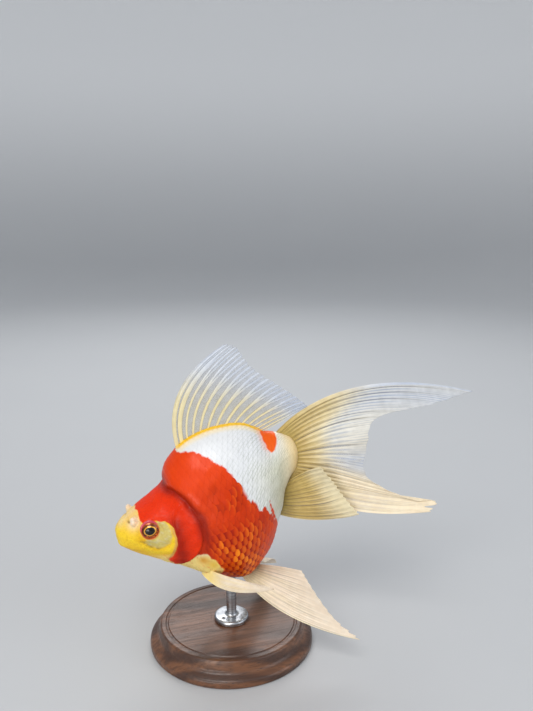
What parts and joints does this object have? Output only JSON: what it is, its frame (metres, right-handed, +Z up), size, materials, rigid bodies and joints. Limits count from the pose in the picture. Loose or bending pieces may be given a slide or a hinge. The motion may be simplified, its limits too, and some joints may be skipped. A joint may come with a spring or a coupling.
{
  "type": "fancy goldfish on a display stand",
  "caption": "Life-size ryukin goldfish, swimming nose-down with spread double tail, held by a rod on a round wooden display base.",
  "frame": {"origin": "centre of the underside of the stand's base", "axes": "+Z up; the fish's head points along -X and its left side along -Y"},
  "size_m": [0.1509, 0.0685, 0.1239],
  "materials": {
    "skin": "wet-looking scaled skin in red-orange, pearl white and golden yellow",
    "eye": "clear gloss over a dark pupil and a gold iris",
    "fin": "thin rayed membrane, golden at the root and bluish white at the edge",
    "stand_wood": "satin-varnished walnut",
    "stand_steel": "brushed stainless steel"
  },
  "bodies": {
    "root": {"head": "skin", "lower_jaw": "skin", "gill_cover_left": "skin", "gill_cover_right": "skin", "trunk": "skin", "tail_peduncle": "skin", "eye_left": "eye", "eye_right": "eye", "fin_dorsal": "fin", "fin_anal_left": "fin", "fin_anal_right": "fin", "fin_pelvic_left": "fin", "fin_pelvic_right": "fin", "fin_pectoral_left": "fin", "fin_pectoral_right": "fin", "fin_tail_upper_left": "fin", "fin_tail_upper_right": "fin", "fin_tail_lower_left": "fin", "fin_tail_lower_right": "fin", "stand_base": "stand_wood", "stand_rod": "stand_steel"}
  },
  "joints": []
}
